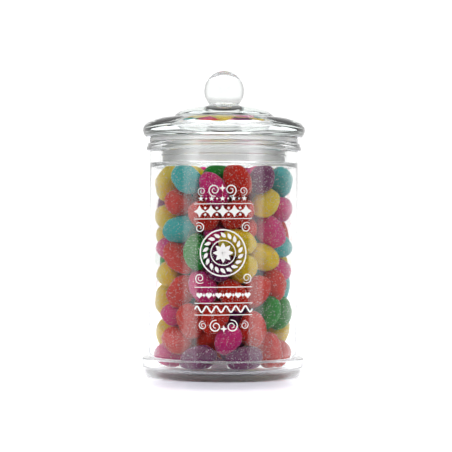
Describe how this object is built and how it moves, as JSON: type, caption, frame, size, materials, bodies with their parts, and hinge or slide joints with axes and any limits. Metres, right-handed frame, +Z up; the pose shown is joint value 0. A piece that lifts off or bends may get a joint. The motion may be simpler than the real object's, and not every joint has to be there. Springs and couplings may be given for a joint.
{
  "type": "jar of candy",
  "caption": "Round clear-glass jar with a ball-knob lid and a ribbed seal ring, filled with sugared oval jelly sweets, with a white ornamental print on its front.",
  "frame": {"origin": "middle of the ring that the jar stands on", "axes": "+Z up along the jar's axis, -Y towards the printed front, +X to the right as the print is read"},
  "size_m": [0.1074, 0.1074, 0.202],
  "materials": {
    "glass": "clear smooth pressed glass with a faint green edge",
    "seal": "milky translucent soft plastic",
    "sweets": "sugared jelly in red, pink, yellow, teal, green and purple"
  },
  "bodies": {
    "root": {"jar_glass": "glass", "lid_glass": "glass", "lid_seal": "seal", "sweets": "sweets"}
  },
  "joints": []
}
